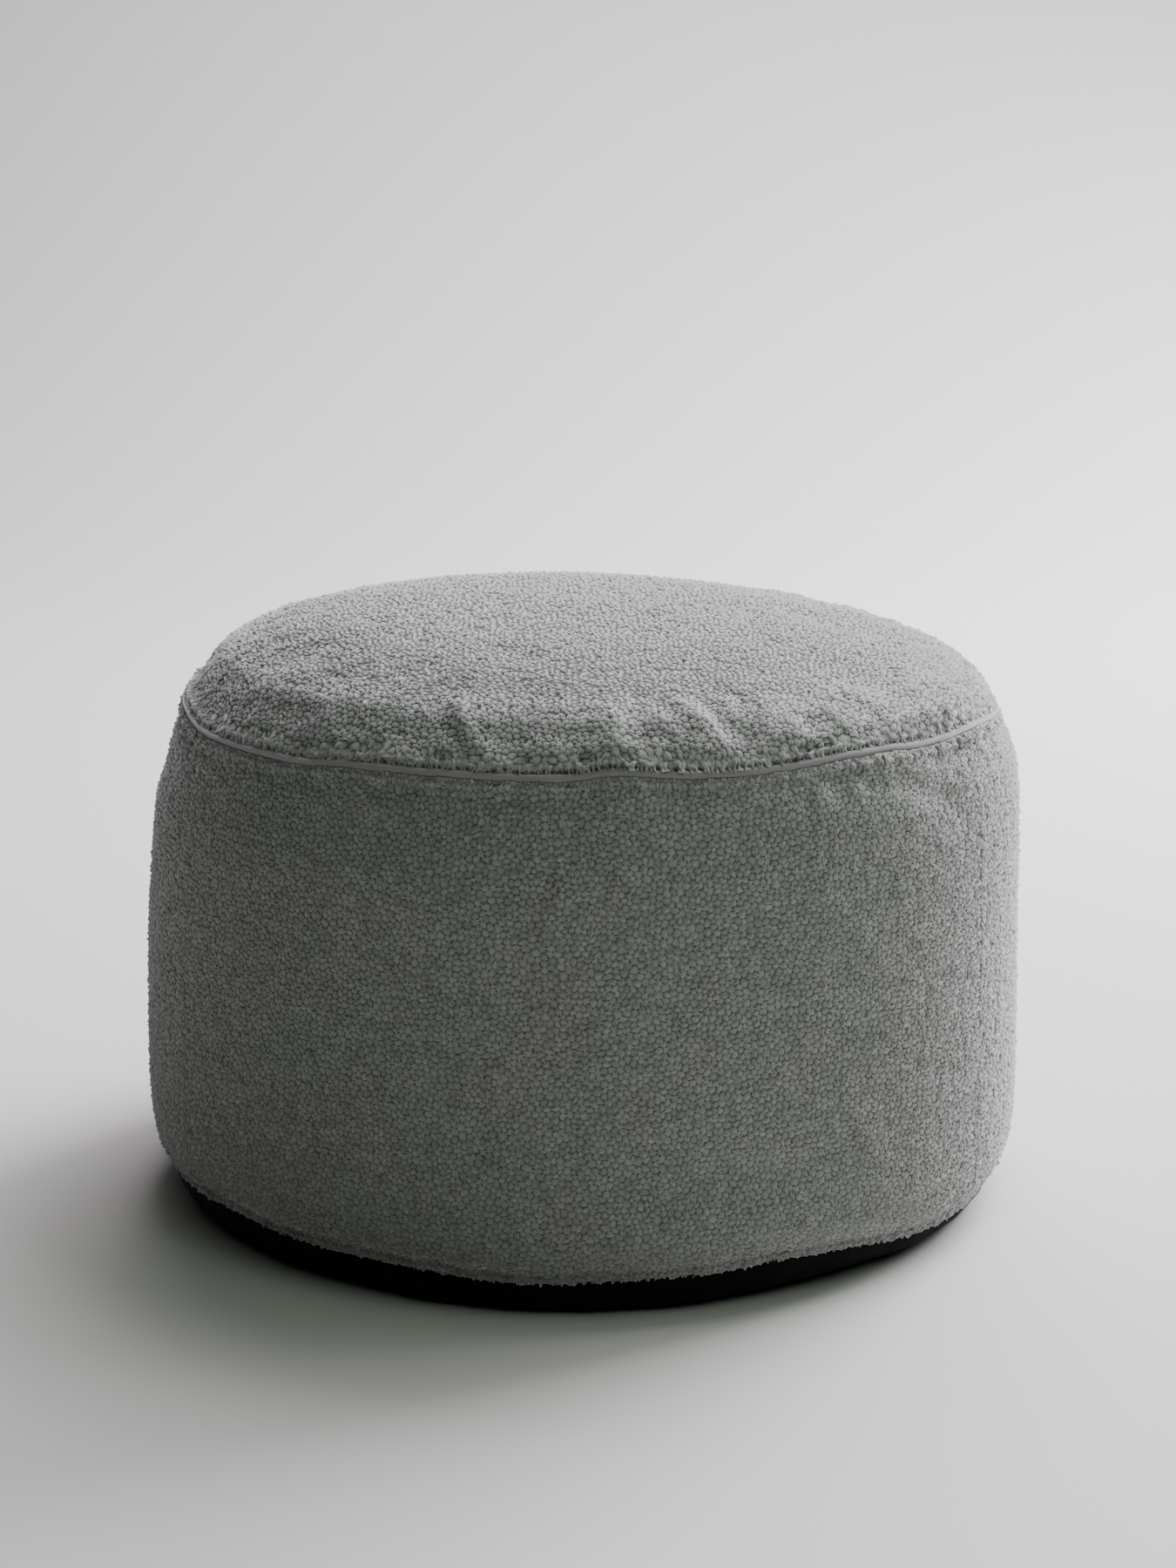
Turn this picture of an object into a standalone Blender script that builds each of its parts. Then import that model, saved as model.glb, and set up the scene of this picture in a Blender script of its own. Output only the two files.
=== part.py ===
"""Round bean bag footstool: a crowned top and a filled drum of curly pile cloth, a corded
seam between them, and a smooth black base cloth that turns up round a flat foot.

Metres, +Z up, standing on z = 0, with the front towards -Y and the right towards +X.
Each piece is a turned solid whose section then changes with its bearing round the drum,
because the filling has settled: the left side is slack and the right side is full.
"""

from bisect import bisect_right
from collections import namedtuple
from math import atan2, cos, degrees, exp, hypot, pi, radians, sin

import bpy

MM = 0.001

# Driving sizes
OVERALL_HEIGHT = 0.336
BELLY_RADIUS = 0.2515  # at the fullest part of the side
SEAM_RADIUS = 0.2284
SEAM_SHIFT = 0.0049  # the seam's ring sits this far towards the full side
HEM_RADIUS = 0.238  # where the drum's cloth ends and the base cloth starts
PIPING_DIAMETER = 0.005
CLEARANCE = 0.0003  # between neighbouring pieces
FACET_ROOM = 0.00015  # so that flat facets still clear the round piping
CRADLE_RADIUS = PIPING_DIAMETER / 2 + CLEARANCE + FACET_ROOM  # the seam's groove
SEAM_MIDDLE_HEIGHT = 0.286  # the filling's level inside the seam
HEM_MIDDLE_HEIGHT = 0.0215  # and inside the hem

SEGMENTS = 120  # sections round the drum
CRADLE_STEPS = 4
CROWN_MOUTH = 110  # degrees round the piping where the crown's cloth leaves it
BAND_MOUTH = 298  # and where the drum's cloth does
CURL_STEPS = 5
INNER_SHARES = (0.5, 0.9)  # rings across a hidden face, as shares of its radius
FOOT_SHARE = 0.6  # one more ring on the flat underside, as a share of the foot's radius
SHARP_ANGLE = 60  # a steeper turn than this is shaded as an edge, in degrees
MERGE_DISTANCE = 0.0001  # closes the turn's first and last sections

# The crown, from its middle to the seam: a share of the seam's radius, and the share of
# the whole drop from the middle to the seam that it has reached on either side.
CrownRow = namedtuple("CrownRow", "out drop_left drop_right")
CROWN_SHOULDER = 6  # how late the crown's surface turns from level to upright
CROWN_ROWS = [
    CrownRow(out=0.300, drop_left=0.005, drop_right=0.090),
    CrownRow(out=0.500, drop_left=0.030, drop_right=0.165),
    CrownRow(out=0.620, drop_left=0.080, drop_right=0.260),
    CrownRow(out=0.720, drop_left=0.170, drop_right=0.360),
    CrownRow(out=0.800, drop_left=0.260, drop_right=0.420),
    CrownRow(out=0.860, drop_left=0.330, drop_right=0.465),
    CrownRow(out=0.910, drop_left=0.420, drop_right=0.510),
    CrownRow(out=0.945, drop_left=0.610, drop_right=0.575),
    CrownRow(out=0.970, drop_left=0.830, drop_right=0.685),
    CrownRow(out=0.985, drop_left=0.930, drop_right=0.810),
]

# The drum's side, from the seam down to the hem: a share of the height between them, and
# how far inside the belly's radius the cloth lies on the slack left and on the full right,
# in millimetres.
BandRow = namedtuple("BandRow", "up left right")
BAND_ROWS = [
    BandRow(up=0.985, left=25.0, right=14.5),
    BandRow(up=0.950, left=21.2, right=9.7),
    BandRow(up=0.910, left=18.8, right=6.2),
    BandRow(up=0.865, left=15.5, right=3.7),
    BandRow(up=0.815, left=10.2, right=2.6),
    BandRow(up=0.760, left=7.7, right=1.9),
    BandRow(up=0.670, left=5.7, right=1.7),
    BandRow(up=0.550, left=2.7, right=1.5),
    BandRow(up=0.430, left=1.2, right=0.9),
    BandRow(up=0.300, left=0.5, right=0.1),
    BandRow(up=0.200, left=0.3, right=0.0),
    BandRow(up=0.140, left=0.7, right=0.1),
    BandRow(up=0.090, left=2.5, right=1.3),
    BandRow(up=0.045, left=5.1, right=3.9),
]

# How the two sewn rims and the foot wander round the drum, in degrees and millimetres.
RimRow = namedtuple("RimRow", "bearing seam_height hem_height foot_radius")
RIM_ROWS = [
    RimRow(bearing=-170, seam_height=286.0, hem_height=22.0, foot_radius=214),
    RimRow(bearing=-140, seam_height=284.0, hem_height=20.0, foot_radius=210),
    RimRow(bearing=-110, seam_height=284.5, hem_height=22.0, foot_radius=216),
    RimRow(bearing=-78, seam_height=284.0, hem_height=19.0, foot_radius=219),
    RimRow(bearing=-66, seam_height=281.0, hem_height=22.0, foot_radius=216),
    RimRow(bearing=-52, seam_height=282.0, hem_height=26.0, foot_radius=214),
    RimRow(bearing=-40, seam_height=283.0, hem_height=24.5, foot_radius=211),
    RimRow(bearing=-30, seam_height=286.0, hem_height=24.5, foot_radius=207),
    RimRow(bearing=-21, seam_height=286.5, hem_height=23.5, foot_radius=217),
    RimRow(bearing=-9, seam_height=286.5, hem_height=20.5, foot_radius=218),
    RimRow(bearing=0, seam_height=287.5, hem_height=21.5, foot_radius=219),
    RimRow(bearing=4, seam_height=290.0, hem_height=22.5, foot_radius=218),
    RimRow(bearing=14, seam_height=287.0, hem_height=23.0, foot_radius=216),
    RimRow(bearing=27, seam_height=287.5, hem_height=25.0, foot_radius=209),
    RimRow(bearing=39, seam_height=289.3, hem_height=21.5, foot_radius=204),
    RimRow(bearing=51, seam_height=286.8, hem_height=16.0, foot_radius=211),
    RimRow(bearing=66, seam_height=286.0, hem_height=14.5, foot_radius=212),
    RimRow(bearing=80, seam_height=281.0, hem_height=16.0, foot_radius=213),
    RimRow(bearing=97, seam_height=276.0, hem_height=18.0, foot_radius=213),
    RimRow(bearing=130, seam_height=280.0, hem_height=21.0, foot_radius=210),
    RimRow(bearing=160, seam_height=285.0, hem_height=23.0, foot_radius=215),
]

# Gathers that run in from the seam. Each stands out or, below 0, is drawn in by `rise`,
# and is strongest `reach` away from the seam. Degrees and millimetres.
GatherRow = namedtuple("GatherRow", "bearing half_width rise reach")
CROWN_GATHERS = [
    GatherRow(bearing=-150, half_width=6, rise=-1.6, reach=14),
    GatherRow(bearing=-118, half_width=5, rise=1.4, reach=12),
    GatherRow(bearing=-62, half_width=6, rise=-1.2, reach=16),
    GatherRow(bearing=-37, half_width=5, rise=1.0, reach=12),
    GatherRow(bearing=-23, half_width=4, rise=-1.8, reach=15),
    GatherRow(bearing=-17, half_width=4, rise=2.2, reach=15),
    GatherRow(bearing=-11, half_width=4, rise=-1.6, reach=13),
    GatherRow(bearing=4, half_width=5, rise=1.0, reach=12),
    GatherRow(bearing=10, half_width=4, rise=-1.6, reach=14),
    GatherRow(bearing=15, half_width=4, rise=1.8, reach=16),
    GatherRow(bearing=22, half_width=4, rise=-1.8, reach=15),
    GatherRow(bearing=28, half_width=4, rise=1.2, reach=13),
    GatherRow(bearing=36, half_width=5, rise=-1.2, reach=12),
    GatherRow(bearing=61, half_width=6, rise=1.2, reach=14),
    GatherRow(bearing=96, half_width=6, rise=-1.4, reach=15),
    GatherRow(bearing=141, half_width=6, rise=1.4, reach=13),
]
BAND_GATHERS = [
    GatherRow(bearing=-160, half_width=6, rise=-1.2, reach=16),
    GatherRow(bearing=-125, half_width=6, rise=1.2, reach=18),
    GatherRow(bearing=-33, half_width=5, rise=1.3, reach=16),
    GatherRow(bearing=-26, half_width=4, rise=-0.9, reach=14),
    GatherRow(bearing=37, half_width=5, rise=-1.2, reach=12),
    GatherRow(bearing=57, half_width=7, rise=-2.0, reach=15),
    GatherRow(bearing=112, half_width=7, rise=-1.4, reach=16),
    GatherRow(bearing=155, half_width=6, rise=1.2, reach=14),
]

# Soft hollows in the drum's side, in degrees and millimetres.
HollowRow = namedtuple("HollowRow", "bearing height half_width half_height depth")
BAND_HOLLOWS = [
    HollowRow(bearing=22, height=74, half_width=10, half_height=14, depth=2.4),
    HollowRow(bearing=-128, height=120, half_width=16, half_height=40, depth=2.0),
    HollowRow(bearing=168, height=80, half_width=12, half_height=20, depth=1.8),
]

# Finishes: colour, roughness
PILE_FINISH = ((0.150, 0.152, 0.158), 0.95)
PIPING_FINISH = ((0.185, 0.180, 0.195), 0.80)
BASE_FINISH = ((0.006, 0.006, 0.007), 0.85)


def clear_scene():
    for obj in list(bpy.data.objects):
        bpy.data.objects.remove(obj)


def bearing_of(x, y):
    """Degrees round the drum from the front, positive towards the right."""
    return degrees(atan2(x, -y))


def apart(bearing, other):
    """The short way round between two bearings, in degrees."""
    return (bearing - other + 180) % 360 - 180


def rim_at(bearing):
    """The rims at any bearing, on a smooth closed curve through the rows."""
    count = len(RIM_ROWS)
    after = bisect_right([row.bearing for row in RIM_ROWS], bearing)
    rows = [RIM_ROWS[(after + step) % count] for step in (-2, -1, 0, 1)]
    places = [apart(row.bearing, bearing) for row in rows]
    span = places[2] - places[1]
    share = -places[1] / span

    def along(column):
        before, start, end, beyond = (getattr(row, column) for row in rows)
        start_slope = (end - before) / (places[2] - places[0]) * span
        end_slope = (beyond - start) / (places[3] - places[1]) * span
        rest = 1 - share
        return (
            start * rest * rest * (1 + 2 * share)
            + end * share * share * (3 - 2 * share)
            + start_slope * share * rest * rest
            - end_slope * share * share * rest
        )

    return RimRow(bearing, *(along(column) * MM for column in RimRow._fields[1:]))


def between_sides(left, right, bearing):
    """A value that goes smoothly from the left side's to the right side's."""
    return left + (right - left) * (1 + sin(radians(bearing))) / 2


def seam_radius(bearing):
    return SEAM_RADIUS + SEAM_SHIFT * sin(radians(bearing))


def gathered(rows, bearing, distance):
    """How far the gathers move the cloth at this distance from the seam, in metres."""
    total = 0
    for row in rows:
        across = exp(-((apart(bearing, row.bearing) / row.half_width) ** 2))
        share = distance / (row.reach * MM)
        total += row.rise * MM * across * share * exp(1 - share)
    return total


def hollowed(bearing, height):
    """How deep the side's hollows are at this place, in metres."""
    total = 0
    for row in BAND_HOLLOWS:
        across = apart(bearing, row.bearing) / row.half_width
        along = (height / MM - row.height) / row.half_height
        total += row.depth * MM * exp(-across * across - along * along)
    return total


def cradle(bearing, start, end):
    """The groove that holds the piping, as an arc round it between two angles."""
    radius, height = seam_radius(bearing), rim_at(bearing).seam_height
    angles = [start + (end - start) * k / CRADLE_STEPS for k in range(CRADLE_STEPS + 1)]
    return [
        (radius + CRADLE_RADIUS * cos(radians(a)), height + CRADLE_RADIUS * sin(radians(a)))
        for a in angles
    ]


def hidden_face(radius, rim_height, middle_height, offset):
    """Points from the axis outwards across a face that only filling touches."""
    shares = (0, *INNER_SHARES)
    rise = rim_height - middle_height
    return [(s * radius, middle_height + rise * s * s + offset) for s in shares]


def crown_section(bearing):
    rim, radius = rim_at(bearing), seam_radius(bearing)
    drop = OVERALL_HEIGHT - rim.seam_height
    points = [(0, OVERALL_HEIGHT)]
    for row in CROWN_ROWS:
        share = between_sides(row.drop_left, row.drop_right, bearing)
        fold = gathered(CROWN_GATHERS, bearing, (1 - row.out) * radius)
        lean = pi / 2 * row.out**CROWN_SHOULDER
        points.append(
            (
                row.out * radius + fold * sin(lean),
                OVERALL_HEIGHT - drop * share + fold * cos(lean),
            )
        )
    under = hidden_face(radius, rim.seam_height, SEAM_MIDDLE_HEIGHT, CLEARANCE / 2)
    level = degrees(CLEARANCE / 2 / CRADLE_RADIUS)
    return points + cradle(bearing, CROWN_MOUTH, 180 - level) + under[::-1]


def band_section(bearing):
    rim, radius = rim_at(bearing), seam_radius(bearing)
    rise = rim.seam_height - rim.hem_height
    level = degrees(CLEARANCE / 2 / CRADLE_RADIUS)
    points = hidden_face(radius, rim.seam_height, SEAM_MIDDLE_HEIGHT, -CLEARANCE / 2)
    points += cradle(bearing, 180 + level, BAND_MOUTH)
    for row in BAND_ROWS:
        height = rim.hem_height + row.up * rise
        fold = gathered(BAND_GATHERS, bearing, (1 - row.up) * rise)
        inset = between_sides(row.left, row.right, bearing) * MM + hollowed(bearing, height)
        points.append((BELLY_RADIUS - inset + fold, height))
    points.append((HEM_RADIUS, rim.hem_height + CLEARANCE / 2))
    under = hidden_face(HEM_RADIUS, rim.hem_height, HEM_MIDDLE_HEIGHT, CLEARANCE / 2)
    return points + under[::-1]


def base_section(bearing):
    rim = rim_at(bearing)
    points = hidden_face(HEM_RADIUS, rim.hem_height, HEM_MIDDLE_HEIGHT, -CLEARANCE / 2)
    edge_height = rim.hem_height - CLEARANCE / 2
    for k in range(CURL_STEPS + 1):
        turn = pi / 2 * k / CURL_STEPS
        out = (HEM_RADIUS - rim.foot_radius) * cos(turn)
        points.append((rim.foot_radius + out, edge_height * (1 - sin(turn))))
    return points + [(FOOT_SHARE * rim.foot_radius, 0), (0, 0)]


def mean_section(section_at):
    """A piece's section averaged round the drum, which is what gets turned."""
    sections = [section_at(360 * k / SEGMENTS - 180) for k in range(SEGMENTS)]
    return [
        (sum(p[0] for p in points) / SEGMENTS, sum(p[1] for p in points) / SEGMENTS)
        for points in zip(*sections)
    ]


def turned_mesh(name, profile):
    """The solid that a profile sweeps in one turn round the Z axis."""
    mesh = bpy.data.meshes.new(name)
    edges = [(k, k + 1) for k in range(len(profile) - 1)]
    mesh.from_pydata([(radius, 0, height) for radius, height in profile], edges, [])
    lathe = bpy.data.objects.new(name, mesh)
    bpy.context.scene.collection.objects.link(lathe)
    screw = lathe.modifiers.new("Turn", "SCREW")
    screw.axis = "Z"
    screw.angle = 2 * pi
    screw.steps = SEGMENTS
    screw.render_steps = SEGMENTS
    screw.use_merge_vertices = True
    screw.merge_threshold = MERGE_DISTANCE
    bpy.context.view_layer.update()
    graph = bpy.context.evaluated_depsgraph_get()
    turned = bpy.data.meshes.new_from_object(lathe.evaluated_get(graph))
    bpy.data.objects.remove(lathe)
    bpy.data.meshes.remove(mesh)
    return turned


def settle(mesh, profile, section_at):
    """Moves each point from the turned profile to the section at its own bearing."""
    sections = {}
    for vertex in mesh.vertices:
        radius, height = hypot(vertex.co.x, vertex.co.y), vertex.co.z
        bearing = round(bearing_of(vertex.co.x, vertex.co.y), 3)
        if bearing not in sections:
            sections[bearing] = section_at(bearing)
        gaps = [hypot(radius - r, height - z) for r, z in profile]
        new_radius, new_height = sections[bearing][gaps.index(min(gaps))]
        turn = radians(bearing)
        vertex.co = (new_radius * sin(turn), -new_radius * cos(turn), new_height)


def finish_material(name, finish):
    colour, roughness = finish
    material = bpy.data.materials.new(name)
    material.use_nodes = True
    shader = material.node_tree.nodes["Principled BSDF"]
    shader.inputs["Base Color"].default_value = (*colour, 1)
    shader.inputs["Roughness"].default_value = roughness
    shader.inputs["Metallic"].default_value = 0
    return material


def add_turned(collection, name, section_at, finish):
    profile = mean_section(section_at)
    mesh = turned_mesh(name, profile)
    settle(mesh, profile, section_at)
    mesh.shade_smooth()
    mesh.set_sharp_from_angle(angle=radians(SHARP_ANGLE))
    mesh.materials.clear()
    mesh.materials.append(finish_material(name, finish))
    mesh.name = name
    collection.objects.link(bpy.data.objects.new(name, mesh))


def add_piping(collection, name, finish):
    """A covered cord laid in the groove, following the seam all the way round."""
    curve = bpy.data.curves.new(name, "CURVE")
    curve.dimensions = "3D"
    curve.twist_mode = "Z_UP"
    curve.bevel_depth = PIPING_DIAMETER / 2
    curve.bevel_resolution = 2
    route = curve.splines.new("POLY")
    route.points.add(SEGMENTS - 1)
    route.use_cyclic_u = True
    for k, point in enumerate(route.points):
        bearing = 360 * k / SEGMENTS - 180
        turn, radius = radians(bearing), seam_radius(bearing)
        height = rim_at(bearing).seam_height
        point.co = (radius * sin(turn), -radius * cos(turn), height, 1)
    curve.materials.append(finish_material(name, finish))
    collection.objects.link(bpy.data.objects.new(name, curve))


def main():
    clear_scene()
    collection = bpy.data.collections.new("bean_bag_footstool")
    bpy.context.scene.collection.children.link(collection)
    add_turned(collection, "top_panel", crown_section, PILE_FINISH)
    add_turned(collection, "side_band", band_section, PILE_FINISH)
    add_turned(collection, "base_panel", base_section, BASE_FINISH)
    add_piping(collection, "piping", PIPING_FINISH)


main()
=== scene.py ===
from math import hypot, pi, radians

import bpy
import numpy as np
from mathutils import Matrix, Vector
from mathutils.geometry import delaunay_2d_cdt


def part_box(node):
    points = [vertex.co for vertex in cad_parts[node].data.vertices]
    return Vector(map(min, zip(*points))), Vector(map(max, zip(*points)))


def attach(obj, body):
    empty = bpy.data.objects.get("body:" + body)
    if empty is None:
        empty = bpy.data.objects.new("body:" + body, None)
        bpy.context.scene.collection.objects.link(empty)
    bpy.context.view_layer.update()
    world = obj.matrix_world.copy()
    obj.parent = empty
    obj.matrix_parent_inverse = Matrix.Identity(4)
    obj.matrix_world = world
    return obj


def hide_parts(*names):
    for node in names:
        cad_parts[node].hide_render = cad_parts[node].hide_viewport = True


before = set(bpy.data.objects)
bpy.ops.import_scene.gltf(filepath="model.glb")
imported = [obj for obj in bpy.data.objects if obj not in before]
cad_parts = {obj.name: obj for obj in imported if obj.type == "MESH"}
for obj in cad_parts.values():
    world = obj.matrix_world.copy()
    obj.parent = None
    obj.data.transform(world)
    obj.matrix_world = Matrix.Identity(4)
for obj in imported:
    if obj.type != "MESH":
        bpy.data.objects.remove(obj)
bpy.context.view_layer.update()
mm = 0.001


# Helpers for objects and meshes.

def useOnly(piece):
    bpy.ops.object.select_all(action="DESELECT")
    piece.select_set(True)
    bpy.context.view_layer.objects.active = piece


def applyModifier(piece, kind, **settings):
    useOnly(piece)
    modifier = piece.modifiers.new(kind.title(), kind)
    for name, value in settings.items():
        setattr(modifier, name, value)
    bpy.ops.object.modifier_apply(modifier=modifier.name)


def pointsOf(piece):
    places = np.empty(len(piece.data.vertices) * 3, np.float32)
    piece.data.vertices.foreach_get("co", places)
    return places.reshape(-1, 3).astype(float)


def normalsOf(piece):
    found = np.empty(len(piece.data.vertices) * 3, np.float32)
    piece.data.vertex_normals.foreach_get("vector", found)
    return found.reshape(-1, 3).astype(float)


def setPoints(piece, places):
    piece.data.vertices.foreach_set("co", places.astype(np.float32).ravel())
    piece.data.update()


def storeValues(piece, name, values):
    attribute = piece.data.attributes.new(name, "FLOAT", "POINT")
    attribute.data.foreach_set("value", values.astype(np.float32))


def bearingsOf(places):  # degrees round the drum from the front, positive to the right
    return np.degrees(np.arctan2(places[:, 0], -places[:, 1]))


def ramp(values, start, end):  # 0 at start, 1 at end, eased at both
    share = np.clip((values - start) / (end - start), 0, 1)
    return share * share * (3 - 2 * share)


def selectPlaces(piece, chosen):  # vertices by their place, and what lies between them
    useOnly(piece)
    for vertex in piece.data.vertices:
        vertex.select = chosen(vertex.co)
    for edge in piece.data.edges:
        edge.select = all(piece.data.vertices[k].select for k in edge.vertices)
    for face in piece.data.polygons:
        face.select = all(piece.data.vertices[k].select for k in face.vertices)


def copyOfNode(name, node):  # a CAD node's mesh is loose triangles, so its copy is merged
    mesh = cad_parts[node].data.copy()
    mesh.materials.clear()
    piece = bpy.data.objects.new(name, mesh)
    bpy.context.scene.collection.objects.link(piece)
    useOnly(piece)
    bpy.ops.mesh.customdata_custom_splitnormals_clear()
    bpy.ops.object.mode_set(mode="EDIT")
    bpy.ops.mesh.select_all(action="SELECT")
    bpy.ops.mesh.remove_doubles(threshold=0.02 * mm)
    bpy.ops.mesh.tris_convert_to_quads()
    bpy.ops.object.mode_set(mode="OBJECT")
    bpy.ops.object.shade_smooth()
    return piece


# Camera, light and floor.

cameraPlan = {
    "place": (0.0034, -1.811, 0.664),
    "tilt": 76.5,  # degrees up from looking straight down
    "lens": 74.7,  # on a 36 mm long side
}
studioPlan = {
    "floorSize": 12.0,
    "wallPlace": 3.2,  # behind the stool
    "wallHeight": 5.0,
    "cornerRadius": 1.4,  # where the floor turns up into the wall
    "floorColour": (0.62, 0.615, 0.60),
    "skyColour": (0.80, 1.0, 0.82),
    "skyStrength": 0.003,
    # name, place, size, watts, colour
    "lights": [
        ("windowLight", (1.9, 1.7, 1.5), 1.6, 190.0, (1.0, 0.955, 1.0)),
        ("backLight", (0.5, 1.6, 2.2), 2.2, 89.0, (1.0, 0.94, 1.0)),
        ("ceilingLight", (1.2, 0.6, 2.6), 1.6, 54.0, (1.0, 0.95, 1.0)),
        ("frontHighLight", (0.3, -1.6, 2.6), 2.2, 10.0, (0.87, 1.0, 0.86)),
        ("frontRightLight", (1.5, -1.2, 2.2), 2.0, 11.0, (0.87, 1.0, 0.86)),
    ],
}


def makeCamera():
    data = bpy.data.cameras.new("camera")
    data.lens = cameraPlan["lens"]
    camera = bpy.data.objects.new("camera", data)
    camera.location = cameraPlan["place"]
    camera.rotation_euler = (radians(cameraPlan["tilt"]), 0, 0)
    bpy.context.scene.collection.objects.link(camera)
    bpy.context.scene.camera = camera


def makeStudio(plan):
    size, back = plan["floorSize"], plan["wallPlace"]
    bpy.ops.object.select_all(action="DESELECT")
    bpy.ops.mesh.primitive_plane_add(size=size, location=(0, back - size / 2, 0))
    floor = bpy.context.object
    floor.name = "floor"
    bpy.ops.object.transform_apply(location=True)
    selectPlaces(floor, lambda place: place.y > 0)
    bpy.ops.object.mode_set(mode="EDIT")
    bpy.ops.mesh.extrude_region_move(TRANSFORM_OT_translate={"value": (0, 0, plan["wallHeight"])})
    bpy.ops.object.mode_set(mode="OBJECT")
    applyModifier(floor, "BEVEL", width=plan["cornerRadius"], segments=24, affect="EDGES")
    bpy.ops.object.shade_smooth()
    floor.data.materials.append(floorMaterial(plan["floorColour"]))
    world = bpy.data.worlds.new("softSky")
    world.use_nodes = True
    sky = world.node_tree.nodes["Background"]
    sky.inputs["Color"].default_value = (*plan["skyColour"], 1)
    sky.inputs["Strength"].default_value = plan["skyStrength"]
    bpy.context.scene.world = world
    for name, place, side, watts, colour in plan["lights"]:  # each is turned to the stool's foot
        data = bpy.data.lights.new(name, "AREA")
        data.size, data.energy, data.color = side, watts, colour
        light = bpy.data.objects.new(name, data)
        light.location = place
        light.rotation_euler = (-light.location).to_track_quat("-Z", "Y").to_euler()
        bpy.context.scene.collection.objects.link(light)


# Sums of sockets add the Math nodes that work them out.

class Wire:
    def __init__(self, kit, socket):
        self.kit, self.socket = kit, socket

    def __add__(self, other):
        return self.kit.maths("ADD", self, other)

    def __radd__(self, other):
        return self.kit.maths("ADD", other, self)

    def __sub__(self, other):
        return self.kit.maths("SUBTRACT", self, other)

    def __rsub__(self, other):
        return self.kit.maths("SUBTRACT", other, self)

    def __mul__(self, other):
        return self.kit.maths("MULTIPLY", self, other)

    def __rmul__(self, other):
        return self.kit.maths("MULTIPLY", other, self)


class Kit:
    def __init__(self, tree):
        self.tree = tree

    def node(self, kind, settings=None, values=None):
        made = self.tree.nodes.new(kind)
        for name, value in (settings or {}).items():
            setattr(made, name, value)
        for key, value in (values or {}).items():
            if isinstance(key, int):
                socket = made.inputs[key]
            else:
                socket = next(s for s in made.inputs if s.name == key and s.enabled)
            if isinstance(value, Wire):
                self.tree.links.new(value.socket, socket)
            else:
                socket.default_value = value
        return made

    def out(self, made, key=None):
        shown = [s for s in made.outputs if s.enabled]
        return Wire(self, shown[0] if key is None else next(s for s in shown if s.name == key))

    def maths(self, operation, *values):
        settings = {"operation": operation}
        return self.out(self.node("ShaderNodeMath", settings, dict(enumerate(values))))

    def limited(self, value):
        settings = {"operation": "ADD", "use_clamp": True}
        return self.out(self.node("ShaderNodeMath", settings, {0: value, 1: 0.0}))

    def place(self):  # in the shared frame, because every piece sits at the origin
        return self.out(self.node("ShaderNodeTexCoord"), "Object")

    def noise(self, place, scale, detail=2.0, roughness=0.5):
        values = {"Vector": place, "Scale": scale, "Detail": detail, "Roughness": roughness}
        return self.out(self.node("ShaderNodeTexNoise", {}, values), "Fac")

    def blend(self, share, first, second):
        settings = {"data_type": "RGBA", "blend_type": "MIX"}
        return self.out(
            self.node("ShaderNodeMix", settings, {"Factor": share, "A": first, "B": second})
        )

    def shaded(self, colour, shade):
        settings = {"operation": "SCALE"}
        return self.out(
            self.node("ShaderNodeVectorMath", settings, {"Vector": colour, "Scale": shade})
        )

    def attribute(self, name):
        return self.out(self.node("ShaderNodeAttribute", {"attribute_name": name}), "Fac")

    def bumped(self, height, depth, normal=None):
        values = {"Height": height, "Distance": depth}
        if normal is not None:
            values["Normal"] = normal
        return self.out(self.node("ShaderNodeBump", {}, values), "Normal")


def newFinish(name, **constants):  # a material, its node kit and its shader's own settings
    material = bpy.data.materials.new(name)
    material.use_nodes = True
    kit = Kit(material.node_tree)
    shader = material.node_tree.nodes["Principled BSDF"]
    for socket, value in constants.items():
        shader.inputs[socket.replace("_", " ")].default_value = value
    return material, kit, shader


def plug(kit, shader, **wires):  # wires to the shader's sockets of those names
    for socket, wire in wires.items():
        kit.tree.links.new(wire.socket, shader.inputs[socket.replace("_", " ")])


def floorMaterial(colour):
    return newFinish("paleFloor", Base_Color=(*colour, 1), Roughness=0.9)[0]


pileFinish = {
    "greenGrey": (0.276, 0.309, 0.275, 1),
    "lilacGrey": (0.288, 0.305, 0.286, 1),
    "patchScale": 26.0,  # patches a few centimetres wide
    "patchEdge": (2.4, 0.7),  # how sharply the two greys part, and how little of the second there is
    "fibreScale": 800.0,
    "glintScale": 900.0,
    "glintEdge": (9.0, 0.6),  # how sharp the glints are, and how few
    "crevicePaintedShade": 0.62,  # painted shade: how much darker the pile's colour is at its roots, in the crevices
    "rootHeight": 0.12,
    "tipRange": (0.4, 1.4),  # where on a granule the roots' finish, with its painted crevice shade, turns into the tips'
    "toneSpread": 0.3,  # from granule to granule, and the side's painted shade with it
    "fibreSpread": 0.55,  # within a granule
    "roughness": 0.88,
    "glintRoughness": 0.3,
    "granuleDepth": 0.7 * mm,
    "granuleRoundness": 2.5,
    "edgeStray": 0.6,  # how far the fibres blur a granule's edge
    "fibreDepth": 0.5 * mm,
}


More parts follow.
